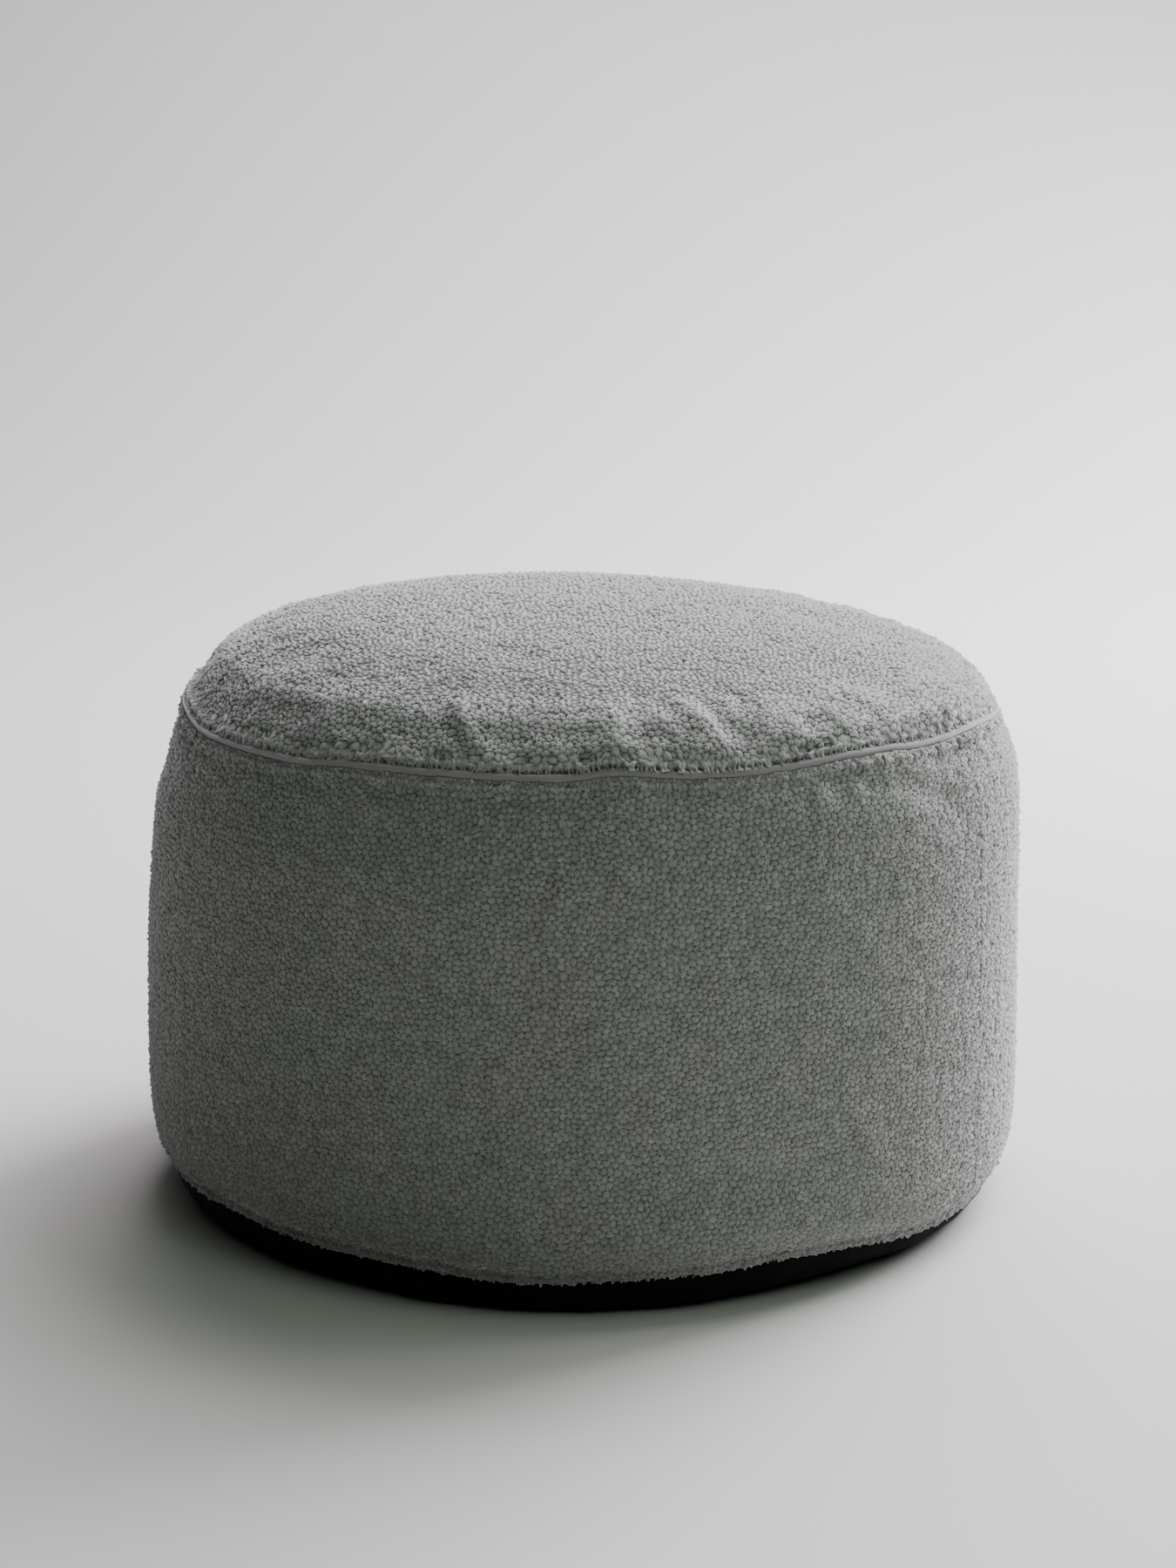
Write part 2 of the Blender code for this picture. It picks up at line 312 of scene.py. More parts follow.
def pileMaterial(plan):
    material, kit, tips = newFinish(
        "pileCloth",
        Subsurface_Weight=1.0,
        Subsurface_Radius=(1, 1, 1),
        Subsurface_Scale=1.2 * mm,
        Sheen_Weight=1.0,
        Sheen_Roughness=0.4,
        Sheen_Tint=(1.0, 0.97, 1.0, 1),
        Specular_IOR_Level=0.6,
    )
    place = kit.place()
    sharp, start = plan["patchEdge"]
    patches = kit.limited(kit.noise(place, plan["patchScale"], 1.5) * sharp - start)
    fibres = kit.noise(place, plan["fibreScale"], 3.0, 0.62)
    colour = kit.blend(patches, plan["greenGrey"], plan["lilacGrey"])
    # the granule's random tone, with the side's painted shade in it
    toneAndPaintedShade = kit.attribute("granuleToneAndShade")
    # the granule's height also says where the painted crevice shade lies
    above = (kit.attribute("granuleHeightAndShade") - plan["rootHeight"]) * (1 / (1 - plan["rootHeight"]))
    low = 1 - kit.limited(above + plan["edgeStray"] * (fibres - 0.5))
    # each granule is round on top, with a sharp crevice round it
    height = kit.maths("SQRT", 1 - kit.maths("POWER", low, plan["granuleRoundness"]))
    normal = kit.bumped(height, plan["granuleDepth"], kit.bumped(fibres, plan["fibreDepth"]))
    shade = 1 - plan["fibreSpread"] / 2 + plan["fibreSpread"] * fibres
    shade = shade * (1 - plan["toneSpread"] / 2 + plan["toneSpread"] * toneAndPaintedShade)
    sharp, start = plan["glintEdge"]
    glint = kit.limited((kit.noise(place, plan["glintScale"], 1.0) - start) * sharp)
    roughness = plan["roughness"] - (plan["roughness"] - plan["glintRoughness"]) * glint
    plug(kit, tips, Base_Color=kit.shaded(colour, shade), Roughness=roughness, Normal=normal)
    shadedRoots = kit.node("ShaderNodeBsdfPrincipled", {}, {"Roughness": 0.95, "Specular IOR Level": 0.1})
    plug(kit, shadedRoots, Base_Color=kit.shaded(colour, shade * plan["crevicePaintedShade"]), Normal=normal)
    start, reach = plan["tipRange"]
    share = kit.limited(height * reach - start)
    # only the tips have the sheen, and the roots have a darker colour, so the crevices stay dark in a low
    # light: painted shade
    mixed = kit.node("ShaderNodeMixShader", {}, {0: share, 1: kit.out(shadedRoots), 2: kit.out(tips)})
    surface = next(made for made in kit.tree.nodes if made.bl_idname == "ShaderNodeOutputMaterial")
    kit.tree.links.new(mixed.outputs[0], surface.inputs["Surface"])
    return material


pipingFinish = {
    "colour": (0.202, 0.196, 0.197, 1),
    "paleColour": (0.248, 0.241, 0.243, 1),
    "wearScale": 60.0,
    "wearEdge": (2.0, 0.5),  # how sharp the worn patches are, and how few
    "threadPitch": 0.55 * mm,
    "threadDepth": 0.10 * mm,
    "threadShade": (0.88, 0.2),  # the tone between the threads, and how much lighter they are
    "roughness": 0.78,
    "threadRoughness": 0.12,  # and how much rougher
}


def weave(kit, along, across, pitch):  # a plain weave's height, 0 to 1, from two lengths
    warp = kit.maths("SINE", along * (pi / pitch))
    weft = kit.maths("SINE", across * (pi / pitch))
    return 0.5 + 0.5 * warp * weft


def pipingMaterial(plan, lengths):
    material, kit, shader = newFinish(
        "pipingCloth",
        Sheen_Weight=1.0,
        Sheen_Roughness=0.45,
        Sheen_Tint=(0.98, 0.96, 1.0, 1),
        Specular_IOR_Level=0.2,
    )
    onPiece = kit.node("ShaderNodeUVMap", {"uv_map": "UVMap"})
    split = kit.node("ShaderNodeSeparateXYZ", {}, {0: kit.out(onPiece)})
    along = kit.out(split, "X") * lengths[0]
    across = kit.out(split, "Y") * lengths[1]
    threads = weave(kit, along + across, along - across, plan["threadPitch"])  # cut on the bias
    sharp, start = plan["wearEdge"]
    wear = kit.limited(kit.noise(kit.place(), plan["wearScale"], 3.0) * sharp - start)
    colour = kit.blend(wear, plan["colour"], plan["paleColour"])
    dim, lift = plan["threadShade"]
    plug(
        kit,
        shader,
        Base_Color=kit.shaded(colour, dim + lift * threads),
        Roughness=plan["roughness"] + plan["threadRoughness"] * threads,
        Normal=kit.bumped(threads, plan["threadDepth"]),
    )
    return material


baseFinish = {
    "colour": (0.0016, 0.0015, 0.0018, 1),
    "dustColour": (0.0042, 0.0036, 0.0046, 1),
    "dustScale": 34.0,
    "dustEdge": (2.2, 0.75),
    "threadPitch": 0.7 * mm,
    "threadDepth": 0.12 * mm,
    "threadShade": (0.8, 0.4),
    "roughness": 0.72,
    "threadRoughness": 0.15,
}


def baseMaterial(plan):
    material, kit, shader = newFinish(
        "baseCloth",
        Sheen_Weight=0.015,
        Sheen_Roughness=0.6,
        Sheen_Tint=(0.9, 0.85, 1.0, 1),
        Specular_IOR_Level=0.08,
    )
    onPiece = kit.node("ShaderNodeUVMap", {"uv_map": "clothUV"})
    split = kit.node("ShaderNodeSeparateXYZ", {}, {0: kit.out(onPiece)})
    threads = weave(kit, kit.out(split, "X"), kit.out(split, "Y"), plan["threadPitch"])
    sharp, start = plan["dustEdge"]
    dust = kit.limited(kit.noise(kit.place(), plan["dustScale"], 4.0, 0.6) * sharp - start)
    colour = kit.blend(dust, plan["colour"], plan["dustColour"])
    dim, lift = plan["threadShade"]
    plug(
        kit,
        shader,
        Base_Color=kit.shaded(colour, dim + lift * threads),
        Roughness=plan["roughness"] + plan["threadRoughness"] * threads,
        Normal=kit.bumped(threads, plan["threadDepth"]),
    )
    return material


# The routes of the seam and of the hem, from the CAD nodes.

class Route:  # a closed line round the drum: its mean radius and height at each bearing
    def __init__(self, places, count):
        ring = np.round(bearingsOf(places) * count / 360).astype(int) % count
        uses = np.bincount(ring, minlength=count)
        used = np.flatnonzero(uses)
        self.bearings = used * 360 / count
        self.radii = np.bincount(ring, np.hypot(places[:, 0], places[:, 1]), count)[used] / uses[used]
        self.heights = np.bincount(ring, places[:, 2], count)[used] / uses[used]

    def at(self, bearings):  # radius and height at these bearings
        return tuple(
            np.interp(bearings, self.bearings, values, period=360)
            for values in (self.radii, self.heights)
        )


def hemPlaces():
    places = pointsOf(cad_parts["base_panel"])
    out = np.hypot(places[:, 0], places[:, 1])
    return places[out > out.max() - 0.5 * mm]


seam = Route(pointsOf(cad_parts["piping"]), 120)
hem = Route(hemPlaces(), 120)


# The two padded pieces that carry the pile.

coverPlan = {
    "hiddenLevel": 286 * mm,  # the top panel's hidden face in the middle
    "seamEdge": 1.6 * mm,  # what lies lower than this at the seam is hidden
    "footLevel": 14 * mm,
    "footRadius": 236.5 * mm,  # the side's hidden face lies inside it
    "nearFoot": 100 * mm,  # below this the foot's radius counts, above it the seam's
    # the scattered granules keep this far off the seam and the hem, where the rings lie
    "crownClear": 6.2 * mm,
    "crownInside": 30 * mm,
    "bandClear": 7.2 * mm,
    "hemClear": 3.4 * mm,
}
padPlan = {
    "voxel": 6 * mm,
    "pileDepth": 2.4 * mm,  # the pad's cloth lies this far inside the solid
    "insetEase": 6 * mm,  # from nothing at a seam
    "swellRoom": 2.5 * mm,  # and it starts this much smaller, with room to swell
    "rounds": 40,  # of smoothing, which part the creases from the swelling
    "rimEase": 14 * mm,  # both fade out this near a seam
    "frames": 20,
    "pressure": 4.0,
    "mass": 0.4,
    "stretchStiffness": 15,
    "bendStiffness": 1.5,
    "slack": 0.02,  # the cloth is cut this much larger than its filling
    "mostMove": 5 * mm,
    "mostCrease": 0.6 * mm,
}


def crownCover(places):  # 0 on the hidden face, rising to 1 away from the seam
    radius, height = seam.at(bearingsOf(places))
    above = places[:, 2] - height
    inside = radius - np.hypot(places[:, 0], places[:, 1])
    hidden = np.maximum(height, coverPlan["hiddenLevel"]) + coverPlan["seamEdge"]
    under = above < coverPlan["seamEdge"]
    shown = np.where(places[:, 2] > hidden, 1, 0)
    return np.where(under & (inside > 0), 0, 1) * shown, np.maximum(inside, above)


def bandCover(places):  # the same for the side, between the seam and the hem
    radius, height = seam.at(bearingsOf(places))
    out = np.hypot(places[:, 0], places[:, 1])
    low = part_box("side_band")[0].z
    nearFoot = places[:, 2] < coverPlan["nearFoot"]
    shown = np.where((out > radius - 1 * mm) | nearFoot, 1, 0)
    shown *= np.where((out > coverPlan["footRadius"]) | ~nearFoot, 1, 0)
    shown *= np.where(places[:, 2] > low, 1, 0)
    return shown, np.minimum(height - places[:, 2], places[:, 2] - coverPlan["footLevel"])


def crownFar(places):  # 1 where the scattered granules may lie
    radius, height = seam.at(bearingsOf(places))
    above = places[:, 2] - height
    inside = radius - np.hypot(places[:, 0], places[:, 1])
    clear = (above > coverPlan["crownClear"]) | (inside > coverPlan["crownInside"])
    return crownCover(places)[0] * clear * (above > 1 * mm)


def bandFar(places):
    bearings = bearingsOf(places)
    belowSeam = seam.at(bearings)[1] - places[:, 2]
    aboveHem = places[:, 2] - hem.at(bearings)[1]
    clear = (belowSeam > coverPlan["bandClear"]) & (aboveHem > coverPlan["hemClear"])
    return bandCover(places)[0] * clear


def makePad(plan, name, node, cover):
    whole = copyOfNode(name + "Whole", node)
    pad = copyOfNode(name, node)
    applyModifier(pad, "REMESH", mode="VOXEL", voxel_size=plan["voxel"])
    applyModifier(pad, "SHRINKWRAP", target=whole, wrap_method="NEAREST_SURFACEPOINT")
    applyModifier(pad, "SMOOTH", factor=0.5, iterations=2)
    bpy.data.objects.remove(whole)
    places, normals = pointsOf(pad), normalsOf(pad)
    shown, fromRim = cover(places)
    ease = ramp(fromRim, 0, plan["rimEase"]) * shown
    inset = plan["pileDepth"] * shown * ramp(fromRim, 0, plan["insetEase"])
    places -= normals * inset[:, None]
    setPoints(pad, places)
    setPoints(pad, places - normals * (plan["swellRoom"] * ease)[:, None])
    creases = swell(pad, plan, 1 - ease)
    setPoints(pad, places + creases * ease[:, None])
    return pad


def swell(pad, plan, held):  # the creases that a filling under pressure gives the cloth
    group = pad.vertex_groups.new(name="held")
    for index, weight in enumerate(held):
        group.add([index], float(weight), "REPLACE")
    start = pointsOf(pad)
    cloth = pad.modifiers.new("Cloth", "CLOTH")
    settings = cloth.settings
    settings.quality = 5
    settings.mass = plan["mass"]
    settings.tension_stiffness = plan["stretchStiffness"]
    settings.compression_stiffness = plan["stretchStiffness"]
    settings.bending_stiffness = plan["bendStiffness"]
    settings.shrink_min = -plan["slack"]
    settings.use_pressure = True
    settings.uniform_pressure_force = plan["pressure"]
    settings.vertex_group_mass = "held"
    settings.effector_weights.gravity = 0
    cloth.collision_settings.use_collision = False
    scene = bpy.context.scene
    for number in range(1, plan["frames"] + 1):
        scene.frame_set(number)
    shape = pad.evaluated_get(bpy.context.evaluated_depsgraph_get())
    moved = np.array([v.co for v in shape.data.vertices], float) - start
    scene.frame_set(1)
    pad.modifiers.remove(cloth)
    pad.vertex_groups.remove(group)
    moved = capped(moved, plan["mostMove"])
    creases = capped(moved - evened(pad, moved, plan["rounds"]), plan["mostCrease"])
    print("swollen:", pad.name, "creases of", round(np.abs(creases).max() / mm, 1), "mm")
    return creases


def capped(moves, most):  # none longer than the most
    far = np.linalg.norm(moves, axis=1)
    return moves * np.minimum(1, most / np.maximum(far, 1e-9))[:, None]


def evened(pad, values, rounds):  # each point's value averaged with its neighbours'
    ends = np.empty(len(pad.data.edges) * 2, np.int32)
    pad.data.edges.foreach_get("vertices", ends)
    first, second = ends.reshape(-1, 2).T
    count = len(values)
    uses = np.bincount(first, minlength=count) + np.bincount(second, minlength=count)
    for step in range(rounds):
        total = [
            np.bincount(first, column[second], count) + np.bincount(second, column[first], count)
            for column in values.T
        ]
        values = 0.5 * values + 0.5 * np.stack(total, 1) / uses[:, None]
    return values


# The pile: a skin of small granules over both pads. Each is a raised point with crevices round it.

pilePlan = {
    "spacing": 2.75 * mm,  # the least between two granules' middles
    "tries": 1100000.0,  # for each square metre
    "rise": 2.0 * mm,  # of a granule over the pile's ground
    "crownShares": (0.94, 1.28),  # of the rise and of the painted crevice shade, near the crown's seam and in its middle
    "crownRamp": (35 * mm, 85 * mm),  # from the seam, between the two
    # of the rise and of the painted crevice shade on the side
    "bandShare": 0.88,
    # painted shade: how much darker the granules are than the crown's, the side being painted as less lit,
    # and how far the painted crevice shade is lifted at the pile's edge
    "crownPaintedShading": (0.0, 0.8),
    "bandPaintedShading": (-0.33, 0.1),
    "edgeFade": 1.6,  # how soon the painted shade at the pile's edge gives way, going in from the edge
    "unevenness": 0.6,
    "saddles": (0.60, 0.25),  # the height between two granules, near ones to far ones
    "saddleSpread": 0.10,
    "saddleMost": 0.85,
    # the saddles' shading height is lowered below their real height: painted shade between granules
    "saddlePaintedShade": 0.5,
    "hollow": 0.1,  # the height between three granules
    "far": 1.75,  # times the spacing
    "lean": 0.35 * mm,
    "seed": 8,
    "scatterSeeds": (21, 34),  # of the crown's and the band's granules
    "padDrop": 2.4 * mm,  # how far the pad is drawn in under its pile
    "padDropEase": 8 * mm,
}
# ring by ring from the edge in: out and up from the seam's or the hem's route, height
crownRings = [(-2.6, 0.2, 0.0), (-0.3, 1.75, 0.6), (-1.9, 4.4, 0.95)]
bandTopRings = [(0.7, -1.0, 0.0), (1.6, -2.3, 0.55), (2.9, -4.7, 0.9)]
hemRings = [(-2.0, 0.2, 0.0), (-0.5, 0.1, 0.7), (0.3, 2.3, 0.95)]
ringUnrest = (0.0, 0.5, 0.8)  # mm, ring by ring
ringSpacing = (0.7, 0.8, 1.0)  # times the spacing, ring by ring
ringHeights = (0.7, 1.25)  # a ring's granules differ between these shares of their height
ringStray = 0.42  # how far a granule strays along its ring, of the step between two
# bearings between which the crown's pile comes to lie on the cord, and clears it again
cordOverlap = (-3, 5)
cordClear = (30, 20)
cordReach = (2.3 * mm, 0.2)  # how far out it lies there, and the share of that by which it sinks
# a lip all along the crown's front, just above the seam
lipPlan = {
    "above": 13 * mm,
    "width": 9 * mm,
    "height": 2.4 * mm,
    "bearings": (84, 62),  # gone at the first, whole at the second
}
foldPlan = {
    "steps": 24,  # along each fold
    "end": 0.06,  # a fold runs out at both ends, from this near nothing
    "fullness": 0.6,  # the less, the longer it keeps its height
}
# folds and dents: bearings and mm from the seam along each, half width and height in mm
crownFolds = [
    ([(-22.8, 66), (-18.6, 52), (-15.8, 30), (-11.5, 8)], 4.5, 1.7),
    ([(-21.5, 44), (-17.2, 24), (-14.0, 8)], 4.0, -1.3),
    ([(-11.5, 58), (-1.5, 54)], 7.0, 1.0),
    ([(-9.0, 40), (-8.0, 16)], 6.0, -0.6),
    ([(4.2, 50), (4.8, 16)], 5.5, 0.8),
    ([(9.8, 56), (12.5, 28), (13.5, 8)], 4.5, 1.3),
    ([(7.4, 44), (8.6, 16)], 5.0, -0.7),
    ([(15.2, 60), (17.4, 34), (18.6, 8)], 4.2, 1.7),
    ([(19.0, 66), (19.8, 40), (20.4, 22)], 3.4, -1.7),
    ([(22.6, 68), (22.4, 44)], 5.0, 1.4),
    ([(21.6, 36), (22.6, 12)], 5.0, -1.2),
    ([(26.8, 46), (26.6, 14)], 4.5, 1.1),
    ([(31.6, 36), (32.4, 10)], 5.5, -1.3),
    ([(36.4, 44), (38.0, 12)], 6.0, 1.4),
    ([(48.0, 12), (60.0, 14)], 7.0, 1.2),
    ([(42.0, 36), (44.0, 10)], 6.0, -0.8),
    ([(-31.0, 50), (-27.5, 16)], 6.5, 0.9),
    ([(-42.0, 52), (-38.0, 16)], 7.0, 0.9),
    ([(-36.5, 46), (-33.0, 16)], 6.0, -0.7),
    ([(-56.0, 46), (-52.0, 14)], 8.0, 1.0),
    ([(-22.0, 132), (-6.0, 122)], 13.0, -1.2),
    ([(93.0, 126), (109.0, 130)], 15.0, -1.6),
    ([(128.0, 50), (131.0, 14)], 8.0, 1.1),
    ([(150.0, 58), (153.0, 16)], 7.0, -1.1),
    ([(171.0, 50), (174.0, 12)], 8.0, 1.2),
    ([(-160.0, 52), (-164.0, 16)], 7.0, 1.0),
    ([(-135.0, 54), (-139.0, 14)], 8.0, -1.0),
    ([(-104.0, 46), (-107.0, 14)], 8.0, 0.9),
]
bandFolds = [
    ([(-35.0, 6), (-30.0, 16), (-24.5, 30)], 5.0, 1.3),
    ([(30.2, 10), (31.0, 30)], 4.5, 1.1),
    ([(33.0, 10), (33.8, 28)], 3.8, -0.9),
    ([(35.6, 8), (36.6, 30)], 4.5, 1.2),
    ([(37.0, 9), (43.0, 9), (51.0, 14)], 6.0, 2.2),
    ([(44.0, 26), (50.0, 32), (56.0, 48)], 10.0, -3.0),
    ([(22.6, 137), (27.0, 141)], 4.5, -1.5),
    ([(29.0, 72), (37.5, 118)], 8.0, 1.0),
    ([(32.0, 190), (39.5, 238)], 8.0, 1.1),
    ([(14.0, 224), (22.0, 232), (30.0, 246)], 13.0, -2.2),
    ([(20.0, 262), (27.0, 264)], 9.0, 1.8),
    ([(3.0, 262), (9.0, 268)], 9.0, 0.9),
    ([(-14.0, 262), (-8.0, 268)], 9.0, 0.8),
    ([(42.0, 262), (50.0, 240)], 9.0, 1.0),
    ([(128.0, 8), (131.0, 40)], 8.0, 1.2),
    ([(165.0, 10), (169.0, 44)], 7.0, -1.1),
    ([(-150.0, 8), (-146.0, 38)], 8.0, 1.2),
    ([(-118.0, 236), (-110.0, 258)], 10.0, -1.6),
    ([(142.0, 226), (154.0, 250)], 11.0, -1.8),
    ([(-172.0, 120), (-166.0, 160)], 9.0, 1.0),
]


def newTree(name):
    tree = bpy.data.node_groups.new(name, "GeometryNodeTree")
    tree.interface.new_socket("Mesh", in_out="INPUT", socket_type="NodeSocketGeometry")
    tree.interface.new_socket("Mesh", in_out="OUTPUT", socket_type="NodeSocketGeometry")
    return tree, Kit(tree)


def scattered(pad, plan, far, seed):  # places all over the pad's shown faces
    dust = bpy.data.objects.new("dust", pad.data.copy())
    bpy.context.scene.collection.objects.link(dust)
    storeValues(dust, "cover", far(pointsOf(dust)))
    tree, kit = newTree("scatter")
    cover = kit.node("GeometryNodeInputNamedAttribute", {}, {"Name": "cover"})
    points = kit.node(
        "GeometryNodeDistributePointsOnFaces",
        {"distribute_method": "POISSON"},
        {
            "Mesh": kit.out(kit.node("NodeGroupInput")),
            "Distance Min": plan["spacing"],
            "Density Max": plan["tries"],
            "Density Factor": kit.out(cover),
            "Seed": seed,
        },
    )
    mesh = kit.node("GeometryNodePointsToVertices", {}, {0: kit.out(points, "Points")})
    kit.node("NodeGroupOutput", {}, {0: kit.out(mesh)})
    applyModifier(dust, "NODES", node_group=tree)
    bpy.data.node_groups.remove(tree)
    places = pointsOf(dust)
    bpy.data.objects.remove(dust)
    return places


def ringsOf(route, rings, plan, dice, onCord=False):  # granules laid along a route, and their heights
    places, heights = [], []
    for number, (out, up, height) in enumerate(rings):
        count = int(2 * pi * route.radii.mean() / (plan["spacing"] * ringSpacing[number]))
        strays = dice.uniform(-ringStray, ringStray, count) * (number > 0)
        bearings = (np.arange(count) + strays) * 360 / count - 180
        radius, level = route.at(bearings)
        unrest = dice.uniform(-1, 1, (2, count)) * ringUnrest[number] * mm
        radius, level = radius + out * mm + unrest[0], level + up * mm + unrest[1]
        if onCord and number == 1:
            reach, sink = cordReach
            reach = ramp(bearings, *cordOverlap) * ramp(bearings, *cordClear) * reach
            radius, level = radius + reach, level - sink * reach
        turn = np.radians(bearings)
        places.append(np.stack([radius * np.sin(turn), -radius * np.cos(turn), level], 1))
        heights.append(height * dice.uniform(*ringHeights, count))
    return np.concatenate(places), np.concatenate(heights)


flatPlan = {
    "crownTop": 336 * mm,  # the stool's height
    "crownRadius": 260 * mm,  # of the crown laid out flat
    "bandLength": 300 * mm,  # of the side laid out flat, from hem to seam
    "bandMiddle": 250 * mm,  # the side's greatest radius
    "bandHalf": 150 * mm,  # above it the side leans in to the seam, below it to the hem
    "bandRadius": 245 * mm,  # of the cylinder that it is laid out from
}


def flatCrown(places):  # laid out flat, with its rim a circle
    bearings = bearingsOf(places)
    top = flatPlan["crownTop"]
    reach = np.hypot(places[:, 0], places[:, 1]) + top - places[:, 2]
    radius, height = seam.at(bearings)
    rim = radius + crownRings[0][0] * mm + top - height - crownRings[0][1] * mm
    share = np.minimum(reach / rim, 1) * flatPlan["crownRadius"]
    turn = np.radians(bearings)
    return np.stack([share * np.sin(turn), -share * np.cos(turn)], 1)


def flatBand(places):  # laid out flat, with straight edges at the seam and the hem
    bearings = bearingsOf(places)
    out = np.hypot(places[:, 0], places[:, 1])
    seamOut, seamUp = seam.at(bearings)
    hemOut, hemUp = hem.at(bearings)
    middle = flatPlan["bandMiddle"]
    upper = places[:, 2] > flatPlan["bandHalf"]
    length = places[:, 2] + np.where(upper, middle - out, out - middle)
    top = seamUp + bandTopRings[0][1] * mm + middle - seamOut - bandTopRings[0][0] * mm
    low = hemUp + hemRings[0][1] * mm + hemOut + hemRings[0][0] * mm - middle
    share = np.clip((length - low) / (top - low), 0, 1)
    return np.stack([bearings * radians(flatPlan["bandRadius"]), share * flatPlan["bandLength"]], 1)


def onCrown(route):  # bearings and mm from the seam, as places on the flat crown
    bearings, inward = np.array(route, float).T
    reach, turn = flatPlan["crownRadius"] - inward * mm, np.radians(bearings)
    return np.stack([reach * np.sin(turn), -reach * np.cos(turn)], 1)


def onBand(route):  # and on the flat side
    bearings, down = np.array(route, float).T
    return np.stack([bearings * radians(flatPlan["bandRadius"]), flatPlan["bandLength"] - down * mm], 1)


def foldLift(flat, folds, laid):  # how far the folds lift each place
    lift = np.zeros(len(flat))
    end = foldPlan["end"]
    steps = np.linspace(0, 1, foldPlan["steps"])
    for route, width, height in folds:
        ends = laid(route)
        along = np.linspace(0, 1, len(ends))
        track = np.stack([np.interp(steps, along, column) for column in ends.T], 1)
        fade = np.sin(pi * (end + (1 - 2 * end) * steps)) ** foldPlan["fullness"]
        off = np.linalg.norm(flat[:, None] - track, axis=2)
        lift += height * mm * (fade * np.exp(-((off / (width * mm)) ** 2))).max(1)
    return lift


def lipLift(plan, places, flat):  # and how far the front lip lifts it
    inward = flatPlan["crownRadius"] - np.hypot(flat[:, 0], flat[:, 1])
    along = ramp(np.abs(bearingsOf(places)), *plan["bearings"])
    return plan["height"] * along * np.exp(-(((inward - plan["above"]) / plan["width"]) ** 2))


def drawIn(plan, pad, cover):  # the pad goes in under its pile
    places, normals = pointsOf(pad), normalsOf(pad)
    shown, fromRim = cover(places)
    depth = plan["padDrop"] * shown * ramp(fromRim, 0, plan["padDropEase"])
    setPoints(pad, places - normals * depth[:, None])


def joinedUp(flat, roundWidth=None):  # triangles between the places, across the back too with a width
    count = len(flat)
    source = np.arange(count)
    if roundWidth:
        near = 12 * mm  # more than any triangle reaches across the back
        low = np.flatnonzero(flat[:, 0] < near - roundWidth / 2)
        high = np.flatnonzero(flat[:, 0] > roundWidth / 2 - near)
        flat = np.concatenate([flat, flat[low] + (roundWidth, 0), flat[high] - (roundWidth, 0)])
        source = np.concatenate([source, low, high])
    found = delaunay_2d_cdt([Vector(place) for place in flat], [], [], 0, 1e-9, True)
    origin = np.array([first[0] for first in found[3]])
    faces = np.array(found[2])
    if roundWidth:
        across = np.array(found[0])[faces, 0].mean(1)
        faces = faces[(across >= -roundWidth / 2) & (across < roundWidth / 2)]
    return source[origin[faces]]


def cutInSix(faces, count):  # round each face's middle, and the pairs that the edge points lie between
    ends = np.sort(np.concatenate([faces[:, [0, 1]], faces[:, [1, 2]], faces[:, [2, 0]]]), axis=1)
    pairs, place = np.unique(ends, axis=0, return_inverse=True)
    ab, bc, ca = place.reshape(3, -1) + count
    a, b, c = faces.T
    middle = np.arange(len(faces)) + count + len(pairs)
    rim = [a, ab, b, bc, c, ca, a]
    return np.concatenate([np.stack(part, 1) for part in zip(rim, rim[1:], [middle] * 6)]), pairs


def facing(places, faces):  # each point's outward direction
    a, b, c = (places[faces[:, k]] for k in range(3))
    across = np.cross(b - a, c - a)
    total = np.stack([
        sum(np.bincount(faces[:, k], column, len(places)) for k in range(3))
        for column in across.T
    ], 1)
    return total / np.maximum(np.linalg.norm(total, axis=1), 1e-12)[:, None]


def crownShare(plan, flat):  # the crown's pile is lower near its seam and stands up in the middle, and its painted crevice shade is deeper there
    inward = flatPlan["crownRadius"] - np.hypot(flat[:, 0], flat[:, 1])
    near, far = plan["crownShares"]
    return near + (far - near) * ramp(inward, *plan["crownRamp"])


def saddleShares(plan, places, pairs, dice):  # how high it is between two granules, of their rise
    gaps = np.linalg.norm(places[pairs[:, 0]] - places[pairs[:, 1]], axis=1) / plan["spacing"]
    near, far = plan["saddles"]
    shares = near + (far - near) * np.clip((gaps - 1) / (plan["far"] - 1), 0, 1)
    strays = dice.normal(0, plan["saddleSpread"], len(shares))
    return np.clip(shares + strays, 0, plan["saddleMost"])


